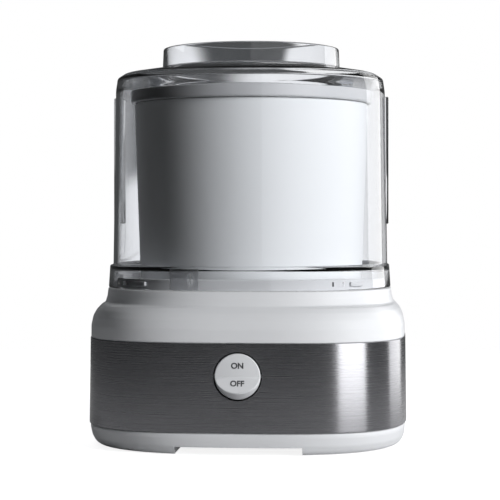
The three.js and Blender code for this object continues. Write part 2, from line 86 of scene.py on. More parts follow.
# ---- sizes worked out from them -------------------------------------------------------------
WALL = 2.6 * MM                 # moulded walls
BOWL_SHEET = 1.6 * MM           # the bowl's wall and its liner
COLLAR_HALF = BASE_HALF - 11.2 * MM
UPSTAND_HALF = BASE_HALF - 15.2 * MM
UPSTAND_CORNER = UPSTAND_HALF * 2 ** (0.5 - 1 / LID_POWER)
SKIRT_HALF = BASE_HALF - 11.6 * MM
HOOK_SPAN = (COLLAR_TOP + 3 * MM, COLLAR_TOP + 6 * MM)
HOOK_TURN = 0.05                # the base's hooks and the lid's lugs lie side by side, in radians
LUG_TURN = 0.12
NOTCH_HALF = 43.5 * MM          # half the width of the front cut-out
PAN_FLOOR = PAN_LOW + 6.4 * MM
PAN_SEAT = PAN_FLOOR - GAP      # where the feet and the screw heads stop
SCREW_HOLE = 2.2 * MM
PADDLE_ARM = 5 * MM             # depth of the arm that the lid holds
SCREW_AT = (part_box("pan_screw_1")[0].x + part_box("pan_screw_1")[1].x) / 2


# ---- mesh building --------------------------------------------------------------------------
def squircle_ring(half, height, power, sides):
    ring = []
    for k in range(sides):
        turn = 2 * math.pi * k / sides
        c, s = math.cos(turn), math.sin(turn)
        reach = half / (abs(c) ** power + abs(s) ** power) ** (1 / power)
        ring.append((reach * c, reach * s, height))
    return ring


def rounded(profile, radius, closed=True, steps=5):
    """Rounds every corner of a profile of (half width, height, squareness) points."""
    points = []
    count = len(profile)
    for i, corner in enumerate(profile):
        if not closed and i in (0, count - 1):
            points.append(corner)
            continue
        before, after = profile[i - 1], profile[(i + 1) % count]
        ends = []
        for other in (before, after):
            length = math.hypot(other[0] - corner[0], other[1] - corner[1])
            share = min(0.45, radius / length)
            ends.append([corner[n] + share * (other[n] - corner[n]) for n in range(3)])
        for step in range(steps + 1):
            t = step / steps
            weights = ((1 - t) ** 2, 2 * t * (1 - t), t * t)
            trio = (ends[0], corner, ends[1])
            points.append(tuple(sum(w * p[n] for w, p in zip(weights, trio)) for n in range(3)))
    return points


def new_object(name, mesh):
    piece = bpy.data.objects.new(name, mesh)
    bpy.context.scene.collection.objects.link(piece)
    return piece


def skin(name, rings, closed):
    """Joins rings of points into one smooth mesh. A ring of one point is a pole."""
    points, starts = [], []
    for ring in rings:
        starts.append(len(points))
        points.extend(ring)
    sides = max(len(ring) for ring in rings)
    faces = []
    for i in range(len(rings) if closed else len(rings) - 1):
        j = (i + 1) % len(rings)
        here, there = len(rings[i]), len(rings[j])
        for k in range(sides):
            face = [starts[i] + k % here, starts[i] + (k + 1) % here]
            face += [starts[j] + (k + 1) % there, starts[j] + k % there]
            faces.append(list(dict.fromkeys(face)))
    mesh = bpy.data.meshes.new(name)
    mesh.from_pydata(points, [], faces)
    return new_object(name, outward(mesh))


def outward(mesh):
    shape = bmesh.new()
    shape.from_mesh(mesh)
    bmesh.ops.recalc_face_normals(shape, faces=shape.faces)
    if shape.calc_volume(signed=True) < 0:
        bmesh.ops.reverse_faces(shape, faces=shape.faces)
    shape.to_mesh(mesh)
    shape.free()
    mesh.shade_smooth()
    return mesh


def lathe(name, profile, closed=True, sides=FINE):
    rings = []
    for half, height, power in profile:
        rings.append([(0, 0, height)] if half <= 0 else squircle_ring(half, height, power, sides))
    return skin(name, rings, closed)


def upright_cylinder(radius, low, high, x, y, segments=48):
    shape = bmesh.new()
    bmesh.ops.create_cone(shape, cap_ends=True, segments=segments, radius1=radius, radius2=radius,
                          depth=high - low)
    bmesh.ops.translate(shape, verts=shape.verts, vec=(x, y, (low + high) / 2))
    mesh = bpy.data.meshes.new("cylinder")
    shape.to_mesh(mesh)
    shape.free()
    return new_object("cylinder", mesh)


def cylinder_along_y(radius, y0, y1, x, z):
    piece = upright_cylinder(radius, y0, y1, x, -z, segments=96)
    piece.data.transform(Matrix.Rotation(-math.pi / 2, 4, "X"))
    return piece


def box_object(name, low, high):
    shape = bmesh.new()
    bmesh.ops.create_cube(shape, size=1)
    size = [high[n] - low[n] for n in range(3)]
    bmesh.ops.scale(shape, vec=size, verts=shape.verts)
    bmesh.ops.translate(shape, vec=[(high[n] + low[n]) / 2 for n in range(3)], verts=shape.verts)
    mesh = bpy.data.meshes.new(name)
    shape.to_mesh(mesh)
    shape.free()
    return new_object(name, mesh)


def apply_modifiers(piece):
    bpy.context.view_layer.update()
    evaluated = piece.evaluated_get(bpy.context.evaluated_depsgraph_get())
    mesh = bpy.data.meshes.new_from_object(evaluated)
    piece.modifiers.clear()
    piece.data = mesh
    return piece


def combine(piece, tool, operation):
    """Cuts or joins another piece, which is used up."""
    modifier = piece.modifiers.new("combine", "BOOLEAN")
    modifier.operation = operation
    modifier.solver = "EXACT"
    modifier.object = tool
    apply_modifiers(piece)
    bpy.data.objects.remove(tool)
    return piece


def bevel(piece, width, segments=3, angle=40):
    modifier = piece.modifiers.new("bevel", "BEVEL")
    modifier.width = width
    modifier.segments = segments
    modifier.limit_method = "ANGLE"
    modifier.angle_limit = math.radians(angle)
    apply_modifiers(piece)
    return piece


def crisp(piece, angle=35):
    piece.data.shade_smooth()
    piece.data.set_sharp_from_angle(angle=math.radians(angle))
    return piece


# ---- materials ------------------------------------------------------------------------------
class Nodes:
    """A short way to add and link a material's nodes."""

    def __init__(self, name):
        self.material = bpy.data.materials.new(name)
        self.material.use_nodes = True
        self.tree = self.material.node_tree
        self.shader = self.tree.nodes["Principled BSDF"]

    def add(self, kind, **settings):
        node = self.tree.nodes.new(kind)
        for key, value in settings.items():
            setattr(node, key, value)
        return node

    def link(self, source, target):
        self.tree.links.new(source, target)

    def set(self, **values):
        for name, value in values.items():
            self.shader.inputs[name.replace("_", " ")].default_value = value

    def coordinates(self):
        return self.add("ShaderNodeTexCoord").outputs["Object"]

    def math(self, operation, first, second=0.0):
        node = self.add("ShaderNodeMath", operation=operation)
        for socket, value in zip(node.inputs, (first, second)):
            if isinstance(value, (int, float)):
                socket.default_value = value
            else:
                self.link(value, socket)
        return node.outputs[0]

    def noise(self, vector, scale, detail=4.0, roughness=0.5):
        node = self.add("ShaderNodeTexNoise")
        node.inputs["Scale"].default_value = scale
        node.inputs["Detail"].default_value = detail
        node.inputs["Roughness"].default_value = roughness
        self.link(vector, node.inputs["Vector"])
        return node.outputs["Fac"]

    def spread(self, value, low, high):
        """Maps a 0 to 1 value to low to high."""
        node = self.add("ShaderNodeMapRange")
        node.inputs["To Min"].default_value = low
        node.inputs["To Max"].default_value = high
        self.link(value, node.inputs["Value"])
        return node.outputs["Result"]

    def paint(self, value, first, second):
        """Colours the surface from first to second as the value goes from 0 to 1."""
        ramp = self.add("ShaderNodeValToRGB")
        ramp.color_ramp.elements[0].color = (*first, 1)
        ramp.color_ramp.elements[1].color = (*second, 1)
        self.link(value, ramp.inputs["Fac"])
        self.link(ramp.outputs["Color"], self.shader.inputs["Base Color"])

    def gloss(self, value, low, high):
        """Varies the surface's roughness from low to high as the value goes from 0 to 1."""
        self.link(self.spread(value, low, high), self.shader.inputs["Roughness"])

    def bump(self, height, strength, distance):
        node = self.add("ShaderNodeBump")
        node.inputs["Strength"].default_value = strength
        node.inputs["Distance"].default_value = distance
        self.link(height, node.inputs["Height"])
        self.link(node.outputs["Normal"], self.shader.inputs["Normal"])

    def around(self, across, along):
        """Coordinates that run round the Z axis and up it, for brushed and wound surfaces."""
        split = self.add("ShaderNodeSeparateXYZ")
        self.link(self.coordinates(), split.inputs[0])
        angle = self.math("ARCTAN2", split.outputs["Y"], split.outputs["X"])
        join = self.add("ShaderNodeCombineXYZ")
        self.link(self.math("MULTIPLY", angle, across), join.inputs["X"])
        self.link(self.math("MULTIPLY", split.outputs["Z"], along), join.inputs["Y"])
        return join.outputs[0]


def shade(color, factor):
    return tuple(min(1.0, channel * factor) for channel in color)


def moulded(name, color, roughness, grain, coat=0.0):
    """Moulded plastic: a faint flow colour, a fine surface grain and uneven gloss."""
    n = Nodes(name)
    where = n.coordinates()
    flow = n.noise(where, 14.0, 3.0)
    n.paint(flow, shade(color, 0.975), shade(color, 1.02))
    n.gloss(n.noise(where, 60.0), roughness * 0.85, roughness * 1.2)
    n.bump(n.noise(where, 900.0, 2.0), grain, 0.1 * MM)
    n.set(Coat_Weight=coat, Coat_Roughness=0.08, IOR=1.49)
    return n.material


def brushed(name, color, roughness, lines, streak):
    """Metal brushed round the Z axis: reflections stay narrow along the lines and spread across them."""
    n = Nodes(name)
    fine = n.noise(n.around(1.6, lines), 1.0, 6.0, 0.65)
    broad = n.noise(n.around(0.9, lines * 0.3), 1.0, 4.0)
    n.paint(broad, shade(color, 1 - streak), shade(color, 1 + streak))
    n.gloss(fine, roughness * 0.7, roughness * 1.4)
    n.bump(fine, 0.08, 0.03 * MM)
    n.set(Metallic=1.0, Anisotropic=0.85, Anisotropic_Rotation=0.25)
    tangent = n.add("ShaderNodeTangent", direction_type="RADIAL", axis="Z")
    n.link(tangent.outputs[0], n.shader.inputs["Tangent"])
    return n.material


def clear_plastic(name, clarity, smooth, rough):
    """Clear acrylic with the faintest ripple and handling marks, polished or frosted."""
    n = Nodes(name)
    where = n.coordinates()
    tint = (0.93, 0.94, 0.96)
    n.paint(n.noise(where, 8.0), shade(tint, clarity), shade(tint, clarity * 1.02))
    n.gloss(n.noise(where, 35.0, 6.0), smooth, rough)
    n.bump(n.noise(where, 22.0, 2.0), 0.02, 0.3 * MM)
    n.set(Transmission_Weight=1.0, IOR=1.49)
    return n.material


def rubber(name):
    n = Nodes(name)
    where = n.coordinates()
    n.paint(n.noise(where, 120.0), (0.022, 0.022, 0.024), (0.045, 0.045, 0.047))
    n.gloss(n.noise(where, 300.0), 0.65, 0.9)
    n.bump(n.noise(where, 1500.0), 0.4, 0.1 * MM)
    return n.material


def plain_metal(name, color, roughness):
    """Turned or plated metal with fine marks and a little tarnish."""
    n = Nodes(name)
    where = n.coordinates()
    n.paint(n.noise(where, 90.0), shade(color, 0.86), color)
    n.gloss(n.noise(where, 400.0), roughness * 0.7, roughness * 1.4)
    n.bump(n.noise(where, 1200.0), 0.15, 0.05 * MM)
    n.set(Metallic=1.0)
    return n.material


def winding(name):
    """Enamelled copper wire wound in layers; its colour holds painted shade, darker in the grooves between
    turns and lighter on their crests.
    """
    n = Nodes(name)
    split = n.add("ShaderNodeSeparateXYZ")
    n.link(n.coordinates(), split.inputs[0])
    turns = n.math("SINE", n.math("MULTIPLY", split.outputs["Z"], 2 * math.pi / (0.6 * MM)))
    height = n.spread(turns, 0.0, 1.0)
    # painted shade: the wire's colour goes darker in the grooves between turns and lighter on the crests,
    # following the bump
    n.paint(height, (0.22, 0.07, 0.02), (0.62, 0.27, 0.10))
    n.bump(height, 0.6, 0.2 * MM)
    n.set(Metallic=0.9, Roughness=0.35)
    return n.material


def ink(name, color):
    n = Nodes(name)
    where = n.coordinates()
    n.paint(n.noise(where, 700.0), shade(color, 0.8), shade(color, 1.25))
    n.set(Roughness=0.5)
    return n.material


LOOKS = {
    "white_plastic": moulded("white_plastic", (0.64, 0.65, 0.67), 0.34, 0.03),
    "bowl_plastic": moulded("bowl_plastic", (0.80, 0.82, 0.84), 0.42, 0.05),
    "rim_plastic": moulded("rim_plastic", (0.56, 0.57, 0.59), 0.32, 0.03, coat=1.0),
    "black_plastic": moulded("black_plastic", (0.018, 0.018, 0.020), 0.45, 0.25),
    "nylon": moulded("nylon", (0.80, 0.76, 0.64), 0.45, 0.15),
    "clear_plastic": clear_plastic("clear_plastic", 1.0, 0.0, 0.05),
    "frosted_plastic": clear_plastic("frosted_plastic", 0.8, 0.25, 0.45),
    "brushed_band": brushed("brushed_band", (0.31, 0.31, 0.325), 0.25, 2400.0, 0.10),
    "aluminium": brushed("aluminium", (0.74, 0.75, 0.77), 0.34, 900.0, 0.05),
    "steel": plain_metal("steel", (0.60, 0.61, 0.63), 0.32),
    "brass": plain_metal("brass", (0.72, 0.53, 0.24), 0.30),
    "magnet": plain_metal("magnet", (0.10, 0.10, 0.11), 0.55),
    "copper_winding": winding("copper_winding"),
    "rubber": rubber("rubber"),
}
INK = ink("switch_ink", (0.05, 0.05, 0.055))


def dress(piece, look):
    piece.data.materials.clear()
    piece.data.materials.append(LOOKS[look])
    return piece


def finish_piece(piece, body, slot, *nodes):
    """Gives a new piece its material and body, and hides the CAD nodes that it stands for."""
    dress(piece, slot)
    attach(piece, body)
    if nodes:
        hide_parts(*nodes)
    return piece


# ---- base -----------------------------------------------------------------------------------
def powers(power, pairs):
    return [(half, height, power) for half, height in pairs]


def on_corners(reach):
    return [(x * reach, y * reach) for x, y in ((1, 1), (-1, 1), (-1, -1), (1, -1))]


def radial_block(inner, outer, width, low, high, angle):
    """A small block at a radius from the axis, turned to face outwards."""
    block = box_object("block", (inner, -width / 2, low), (outer, width / 2, high))
    block.data.transform(Matrix.Rotation(angle, 4, "Z"))
    return block


def corner_angles(turn):
    return [math.radians(45 + 90 * k) + turn for k in range(4)]


def base_housing():
    skin_half = BASE_HALF - 2.1 * MM
    inner = skin_half - WALL
    ledge = BAND_HIGH + GAP
    shoulder = powers(BASE_POWER, [
        (skin_half, BAND_LOW), (skin_half, ledge), (BASE_HALF - 1.2 * MM, ledge),
        (BASE_HALF - 1.3 * MM, BAND_HIGH + 9 * MM), (BASE_HALF - 2.7 * MM, BAND_HIGH + 15.5 * MM),
        (BASE_HALF - 5.2 * MM, BAND_HIGH + 20 * MM), (BASE_HALF - 8.6 * MM, CREASE - 0.5 * MM)])
    collar = powers(COLLAR_POWER, [
        (COLLAR_HALF + 1.9 * MM, CREASE + GAP), (COLLAR_HALF + 0.5 * MM, CREASE + 5 * MM),
        (COLLAR_HALF - 0.2 * MM, COLLAR_TOP), (COLLAR_HALF - 3 * MM, COLLAR_TOP)])
    well = powers(LID_POWER, [
        (UPSTAND_HALF, COLLAR_TOP), (UPSTAND_HALF, UPSTAND_TOP), (UPSTAND_HALF - WALL, UPSTAND_TOP),
        (UPSTAND_HALF - WALL - 1 * MM, DECK_TOP)])
    hole = powers(ROUND, [(14 * MM, DECK_TOP), (14 * MM, DECK_TOP - WALL)])
    inside = [
        (UPSTAND_HALF - 4.6 * MM, DECK_TOP - WALL, LID_POWER), (inner - 4 * MM, DECK_TOP - WALL, BASE_POWER),
        (inner, BAND_HIGH + 13 * MM, BASE_POWER), (inner, BAND_LOW, BASE_POWER)]
    piece = lathe("housing_shell", rounded(shoulder + collar + well + hole + inside, 1.2 * MM))
    for angle in corner_angles(HOOK_TURN):
        hook = radial_block(UPSTAND_CORNER - 2 * MM, UPSTAND_CORNER + 1.4 * MM, 12 * MM, *HOOK_SPAN, angle)
        combine(piece, bevel(hook, 0.5 * MM), "UNION")
    for x, y in on_corners(SCREW_AT):
        combine(piece, upright_cylinder(5 * MM, BAND_LOW, DECK_TOP - 1 * MM, x, y), "UNION")
        combine(piece, upright_cylinder(SCREW_HOLE, BAND_LOW - 1 * MM, BAND_LOW + 8 * MM, x, y), "DIFFERENCE")
    switch_hole(piece, 18.3 * MM)
    gland_hole(piece)
    return finish_piece(crisp(piece), "base", "white_plastic", "base_housing")


def switch_hole(piece, radius):
    drill = cylinder_along_y(radius, -BASE_HALF - 5 * MM, 12 * MM - BASE_HALF, 0, SWITCH.z)
    combine(piece, drill, "DIFFERENCE")


def gland_hole(piece):
    drill = cylinder_along_y(6.5 * MM, BASE_HALF - 12 * MM, BASE_HALF + 5 * MM, 0, GLAND.z)
    combine(piece, drill, "DIFFERENCE")


def steel_band():
    top = BASE_HALF - 0.8 * MM
    thick = 1 * MM
    profile = powers(BASE_POWER, [
        (BASE_HALF, BAND_LOW), (top, BAND_HIGH), (top - thick, BAND_HIGH), (BASE_HALF - thick, BAND_LOW)])
    piece = lathe("brushed_sleeve", rounded(profile, 0.3 * MM))
    switch_hole(piece, 16.5 * MM)
    gland_hole(piece)
    return finish_piece(crisp(piece), "base", "brushed_band", "steel_band")


def bottom_pan():
    high = BAND_LOW - GAP
    floor = PAN_FLOOR
    inner = BASE_HALF - 5 * MM
    low_power = 2.8                 # the trim's lower edge has rounder corners than the band
    trim = [
        (BASE_HALF - 8.5 * MM, PAN_LOW, low_power), (BASE_HALF - 4.8 * MM, PAN_LOW, low_power),
        (BASE_HALF - 2.7 * MM, PAN_LOW + 2 * MM, 2.87), (BASE_HALF - 1.4 * MM, PAN_LOW + 6 * MM, 3.05),
        (BASE_HALF - 0.9 * MM, high - 3 * MM, BASE_POWER), (BASE_HALF - 0.9 * MM, high, BASE_POWER),
        (inner, high, BASE_POWER), (inner - 1 * MM, floor + 3.6 * MM, BASE_POWER)]
    under = [(0, floor, low_power), (BASE_HALF - 9.5 * MM, floor, low_power)]
    over = powers(BASE_POWER, [(inner - 3 * MM, floor + WALL), (0, floor + WALL)])
    piece = lathe("lower_trim", rounded(under + trim + over, 1.2 * MM, closed=False), closed=False)
    notch_top = PAN_LOW + 5.2 * MM
    notch = box_object("notch", (-NOTCH_HALF, -BASE_HALF, -1 * MM), (NOTCH_HALF, -100 * MM, notch_top))
    combine(piece, notch, "DIFFERENCE")
    for side in (-1, 1):
        x0, x1 = sorted((side * NOTCH_HALF, side * (NOTCH_HALF + WALL)))
        rib = box_object("rib", (x0, -106 * MM, PAN_LOW), (x1, -40 * MM, floor + 1 * MM))
        combine(piece, bevel(rib, 0.4 * MM), "UNION")
    for x, y in on_corners(SCREW_AT):
        combine(piece, upright_cylinder(SCREW_HOLE, 0, floor + 5 * MM, x, y), "DIFFERENCE")
    for name in FEET:
        low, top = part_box(name)
        centre = (low + top) / 2
        combine(piece, upright_cylinder(2.3 * MM, 0, floor + 5 * MM, centre.x, centre.y), "DIFFERENCE")
    return finish_piece(crisp(piece), "base", "white_plastic", "bottom_pan")


def turned(name, profile, x, y, sides=64):
    """A small round piece, lathed about an upright line through x and y."""
    piece = lathe(name, powers(ROUND, profile), closed=False, sides=sides)
    piece.data.transform(Matrix.Translation((x, y, 0)))
    return piece


def rubber_feet():
    """Each foot has a rounded edge, a shallow dish in its sole and a stem through the floor."""
    for name in FEET:
        low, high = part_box(name)
        x, y = (low.x + high.x) / 2, (low.y + high.y) / 2
        radius = (high.x - low.x) / 2
        dish = 0.5 * MM
        profile = [(0, dish), (radius - 3.4 * MM, dish), (radius - 2.8 * MM, 0), (radius - 0.8 * MM, 0),
                   (radius - 0.2 * MM, dish), (radius, 2 * MM), (radius, PAN_SEAT), (2 * MM, PAN_SEAT),
                   (2 * MM, high.z - 0.6 * MM), (1.4 * MM, high.z), (0, high.z)]
        finish_piece(crisp(turned(name.replace("foot", "sole"), profile, x, y)), "base", "rubber", name)


def pan_screws():
    for k, (x, y) in enumerate(on_corners(SCREW_AT), start=1):
        low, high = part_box(f"pan_screw_{k}")
        profile = [(0, low.z + 0.1 * MM), (2.6 * MM, low.z + 0.2 * MM), (3.6 * MM, low.z + 0.9 * MM),
                   (4 * MM, low.z + 2 * MM), (4 * MM, PAN_SEAT), (1.9 * MM, PAN_SEAT),
                   (1.9 * MM, high.z - 2 * MM), (0.6 * MM, high.z), (0, high.z)]
        screw = turned(f"screw_{k}", profile, x, y, sides=40)
        for turn in (0, math.pi / 2):
            half, narrow = 2.6 * MM, 0.45 * MM
            slot = box_object("slot", (-half, -narrow, low.z - 1 * MM), (half, narrow, low.z + 1.6 * MM))
            slot.data.transform(Matrix.Translation((x, y, 0)) @ Matrix.Rotation(turn + 0.5 * k, 4, "Z"))
            combine(screw, slot, "DIFFERENCE")
        finish_piece(crisp(screw), "base", "steel", f"pan_screw_{k}")


def gland():
    """The cord's grommet: a rounded flange outside, ribs and an open bore."""
    low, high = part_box("cord_gland")
    radius = high.x
    bore = 3.4 * MM
    ribs = [(radius - 0.6 * MM * (k % 2), low.y + 3 * MM + k * 1.2 * MM) for k in range(7)]
    profile = [(bore + 0.5 * MM, low.y), (radius, low.y)] + ribs + [
        (radius, high.y - 1.4 * MM), (radius - 1.2 * MM, high.y), (bore + 0.6 * MM, high.y),
        (bore, high.y - 0.8 * MM), (bore, low.y + 0.6 * MM)]
    piece = lathe("grommet", powers(ROUND, profile), sides=64)
    piece.data.transform(Matrix.Translation((0, 0, GLAND.z)) @ Matrix.Rotation(-math.pi / 2, 4, "X"))
    return finish_piece(crisp(piece), "base", "rubber", "cord_gland")


# ---- switch ---------------------------------------------------------------------------------
BUTTON_SIDES = 128
LOW_SHARE = 0.72                # how far the button's proud lower half reaches, of its radius
BUTTON_FACE = -114.2 * MM
BUTTON_PROUD = 3.8 * MM
FACE_RADIUS = ROCKER_HIGH.x - 0.9 * MM
LETTER_HEIGHT = 5.4 * MM
LOWER_LEAN = math.atan(BUTTON_PROUD / (LOW_SHARE * FACE_RADIUS))


def button_ring(radius, depth, low_share, proud):
    ring = []
    for k in range(BUTTON_SIDES):
        turn = 2 * math.pi * k / BUTTON_SIDES
        rise = math.sin(turn) * (low_share if math.sin(turn) < 0 else 1)
        forward = proud * max(0, -rise) / low_share
        ring.append((radius * math.cos(turn), depth - forward, SWITCH.z + radius * rise))
    return ring


def power_rocker():
    radius = ROCKER_HIGH.x
    back = ROCKER_HIGH.y
    rings = [[(0, back, SWITCH.z)], button_ring(radius - 1.6 * MM, back, 1, 0)]
    rings.append(button_ring(radius, BUTTON_FACE + 1.6 * MM, 1, 0))
    steps = 5
    for step in range(steps + 1):
        share = step / steps
        inset = (radius - FACE_RADIUS) * (1 - math.cos(share * math.pi / 2))
        depth = BUTTON_FACE + (radius - FACE_RADIUS) * (1 - math.sin(share * math.pi / 2))
        low = 1 + (LOW_SHARE - 1) * (0.8 + 0.2 * share)
        rings.append(button_ring(radius - inset, depth, low, BUTTON_PROUD * (0.9 + 0.1 * share)))
    rings.append([(0, BUTTON_FACE, SWITCH.z)])
    piece = skin("round_button", rings, False)
    return finish_piece(crisp(piece, 14), "switch", "white_plastic", "power_rocker")


def word(text, height, z, lean):
    """A flat word on the button, printed a hair proud of its face."""
    curve = bpy.data.curves.new(text, "FONT")
    curve.body = text
    curve.size = height
    curve.align_x = "CENTER"
    curve.align_y = "CENTER"
    curve.extrude = 0.04 * MM
    curve.offset = 0.16 * MM
    letters = new_object("word", curve)
    letters.rotation_euler = (math.pi / 2 - lean, 0, 0)
    below = max(0.0, SWITCH.z - z)
    letters.location = (0, BUTTON_FACE - math.tan(lean) * below - 0.06 * MM, z)
    bpy.context.view_layer.update()
    mesh = bpy.data.meshes.new_from_object(letters.evaluated_get(bpy.context.evaluated_depsgraph_get()))
    mesh.transform(letters.matrix_world)
    bpy.data.objects.remove(letters)
    piece = new_object("switch_word_" + text.lower(), mesh)
    mesh.materials.clear()
    mesh.materials.append(INK)
    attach(piece, "switch")


# ---- bowl -----------------------------------------------------------------------------------
def cup(name, radius, foot, low, corner):
    """A thin-walled cup of revolution, from its floor to the rim."""
    sheet = BOWL_SHEET
    wall = powers(ROUND, [
        (0, low), (foot - 4 * MM, low), (foot, low + 5 * MM), (radius, BOWL_HIGH),
        (radius - sheet, BOWL_HIGH), (foot - sheet, low + 6 * MM), (foot - 6 * MM, low + sheet),
        (0, low + sheet)])
    return lathe(name, rounded(wall, corner, closed=False), closed=False)


def bowl():
    wall = cup("bowl_wall", BOWL_RADIUS, BOWL_RADIUS - 4.6 * MM, BOWL_LOW, 3 * MM)
    shell = finish_piece(wall, "bowl", "bowl_plastic", "bowl_shell")
    liner = cup("bowl_inner", LINER_RADIUS, LINER_RADIUS - 4 * MM, LINER_LOW, 5 * MM)
    finish_piece(liner, "bowl", "aluminium", "bowl_liner")
    inner = LINER_RADIUS - BOWL_SHEET
    rim = rounded(powers(ROUND, [
        (RIM_RADIUS, RIM_LOW), (RIM_RADIUS, RIM_TOP), (inner, RIM_TOP), (inner, RIM_LOW)]), 1.8 * MM)
    ring = finish_piece(lathe("bowl_ring", rim), "bowl", "bowl_plastic", "bowl_rim")
    return shell, dress(ring, "rim_plastic")


# ---- paddle ---------------------------------------------------------------------------------
def paddle():
    low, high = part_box("paddle")
    reach = 60 * MM
    cross_low, cross_high = 216 * MM, 222 * MM
    bars = [
        ((-reach, -5 * MM, low.z), (reach, 5 * MM, low.z + 5 * MM)),
        ((-reach, -4 * MM, cross_low), (reach, 4 * MM, cross_high)),
        ((low.x, -5 * MM, high.z - PADDLE_ARM), (high.x, 5 * MM, high.z)),
        ((-6 * MM, -5 * MM, low.z), (6 * MM, 5 * MM, high.z)),
    ]
    for side in (-1, 1):
        for near, far, half in ((54 * MM, reach, 5 * MM), (30 * MM, 34 * MM, 4 * MM)):
            x0, x1 = sorted((side * near, side * far))
            bars.append(((x0, -half, low.z), (x1, half, cross_high)))
    piece = box_object("dasher", *bars[0])
    for corners in bars[1:]:
        combine(piece, box_object("bar", *corners), "UNION")
    bevel(piece, 1.2 * MM)
    return finish_piece(crisp(piece), "stirrer", "white_plastic", "paddle")


# ---- lid ------------------------------------------------------------------------------------
def clear_lid():
    low_half = SKIRT_HALF - 2.4 * MM
    high_half = low_half - 1.8 * MM
    flange = LID_LOW + 16.1 * MM
    edge = LID_TOP - 19.75 * MM
    spout = 64.8 * MM
    outside = (
        powers(COLLAR_POWER, [(SKIRT_HALF - WALL, LID_LOW), (SKIRT_HALF, LID_LOW),
                              (SKIRT_HALF - 1 * MM, flange)])
        + powers(LID_POWER, [(low_half, flange + 0.2 * MM), (high_half, edge - 12 * MM),
                             (high_half - 1.2 * MM, edge - 3.6 * MM), (high_half - 6 * MM, edge - 0.4 * MM)])
        + powers(ROUND, [(spout + 0.6 * MM, edge + 5 * MM), (spout, LID_TOP), (spout - WALL, LID_TOP),
                         (spout - WALL, edge + 1 * MM)]))
    inside = (
        powers(ROUND, [(spout + 3 * MM, edge + 1 * MM)])
        + powers(LID_POWER, [(high_half - 8 * MM, edge - WALL - 0.6 * MM),
                             (high_half - 4 * MM, edge - 6 * MM), (high_half - WALL, edge - 14 * MM),
                             (low_half - WALL, flange - 2 * MM)])
        + powers(COLLAR_POWER, [(SKIRT_HALF - WALL - 1 * MM, flange - 3 * MM)]))
    piece = lathe("clear_dome", rounded(outside + inside, 1.1 * MM))
    for extra in lid_grips() + lid_keepers(edge) + lid_lugs():
        combine(piece, extra, "UNION")
    piece.visible_shadow = False        # light reaches the bowl through the lid
    finish_piece(crisp(piece, 40), "cover", "clear_plastic", "lid")
    mark = finish_piece(crisp(lock_mark(flange)), "cover", "clear_plastic")
    dress(mark, "frosted_plastic").visible_shadow = False


def lid_grips():
    """A finger rib up each side of the dome."""
    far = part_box("lid")[1].x
    outer = min(far, SKIRT_HALF - 1.4 * MM)
    low, high = 157 * MM, 250 * MM
    grips = []
    for side in (-1, 1):
        x0, x1 = sorted((side * (outer - 4.4 * MM), side * outer))
        grips.append(bevel(box_object("grip", (x0, -8 * MM, low), (x1, 8 * MM, high)), 1 * MM))
    return grips


def lid_keepers(edge):
    """Pairs of tabs under the deck that stop the paddle's arm from turning."""
    arm_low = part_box("paddle")[1].z - PADDLE_ARM
    tabs = []
    for side in (-1, 1):
        for face in (-1, 1):
            x0, x1 = sorted((side * 66 * MM, side * 76 * MM))
            y0, y1 = sorted((face * 6.5 * MM, face * 8.5 * MM))
            tabs.append(box_object("tab", (x0, y0, arm_low + 0.5 * MM), (x1, y1, edge + 1 * MM)))
    return tabs


def lid_lugs():
    """Lugs inside the skirt that catch under the base's hooks."""
    near, far = UPSTAND_CORNER + 1.2 * MM, UPSTAND_CORNER + 6 * MM
    return [radial_block(near, far, 8 * MM, *HOOK_SPAN, angle) for angle in corner_angles(-LUG_TURN)]


def lock_mark(flange):
    """A plate moulded on the skirt with an upright oval ring, where the lid lines up to lock."""
    low, high = LID_LOW + 0.6 * MM, flange - 1.2 * MM
    middle = Matrix.Translation((-33.5 * MM, 0, (low + high) / 2))

    def shell(proud):
        foot, head = SKIRT_HALF + 0.05 * MM, SKIRT_HALF - 0.85 * MM
        return lathe("relief", powers(COLLAR_POWER, [
            (foot, low), (foot + proud, low), (head + proud, high), (head, high)]))

    def oval(width, height):
        tool = cylinder_along_y(1, -BASE_HALF, 0, 0, 0)
        tool.data.transform(middle @ Matrix.Diagonal((width, 1, height, 1)))
        return tool

    def upright(x0, x1):
        return box_object("cutter", (x0, -BASE_HALF, 0), (x1, 0, LID_TOP))

    plate = combine(shell(0.5 * MM), upright(-47 * MM, -28 * MM), "INTERSECT")
    plate.name = "lock_mark"
    combine(plate, oval(3.6 * MM, 6.2 * MM), "DIFFERENCE")
    ring = combine(shell(1.1 * MM), combine(oval(3.4 * MM, 6 * MM), oval(2.3 * MM, 4.9 * MM), "DIFFERENCE"),
                   "INTERSECT")
    bar = combine(combine(shell(1.1 * MM), upright(-34 * MM, -33 * MM), "INTERSECT"),
                  oval(1.6 * MM, 3.6 * MM), "INTERSECT")
    edge = combine(shell(1.0 * MM), upright(-48.2 * MM, -47.1 * MM), "INTERSECT")
    for extra in (ring, bar, edge):
        combine(plate, extra, "UNION")
    return plate


# ---- everything carried over from the frame --------------------------------------------------
def dress_frame_nodes():
    slots = {entry["node"]: entry["material_slot"] for entry in frame["record"]["subparts"]}
    for name, node in frame["nodes"].items():
        dress(node, slots[name])


# ---- stage, light and camera ----------------------------------------------------------------
FRAME = 500                     # the picture's width, which the shifts and the scale refer to
AXIS_DISTANCE = 1.26            # camera to the bowl's axis
CAMERA_HEIGHT = 0.158
CAMERA_TURN = math.radians(4.7)
SENSOR = 36.0
PIXELS_PER_METRE = 1350.0       # at the axis
FOCAL_PIXELS = PIXELS_PER_METRE * AXIS_DISTANCE


